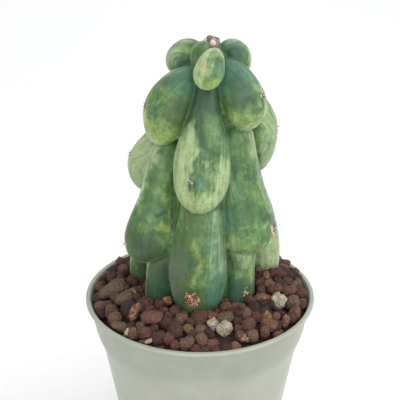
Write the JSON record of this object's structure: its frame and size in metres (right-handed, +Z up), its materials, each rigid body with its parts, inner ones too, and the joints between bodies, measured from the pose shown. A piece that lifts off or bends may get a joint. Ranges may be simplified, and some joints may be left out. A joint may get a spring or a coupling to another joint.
{
  "type": "potted variegated boobie cactus",
  "caption": "Young columnar cactus with drooping pear-shaped lobes and cream variegation, rooted in a round nursery pot topped with red-brown lava grit and pale pumice.",
  "frame": {"origin": "on the table, in the middle of the pot's foot", "axes": "+Z up along the pot's axis, -Y towards the front, +X to the right as seen from the front"},
  "size_m": [0.065, 0.065, 0.131],
  "materials": {
    "pot_plastic": "thin injection-moulded polypropylene, pale grey-green, semi-matt",
    "potting_mix": "dark crumbly bark and peat mix",
    "lava_grit": "rough porous red-brown lava grains, matt",
    "pumice": "rough porous pale grey-beige pumice, matt",
    "cactus_flesh": "waxy blue-green skin with yellow-green and cream variegation, satin"
  },
  "bodies": {
    "root": {"pot": "pot_plastic", "potting_mix": "potting_mix", "lava_grit": "lava_grit", "pumice_stone_1": "pumice", "pumice_stone_2": "pumice", "pumice_stone_3": "pumice", "cactus": "cactus_flesh"}
  },
  "joints": []
}
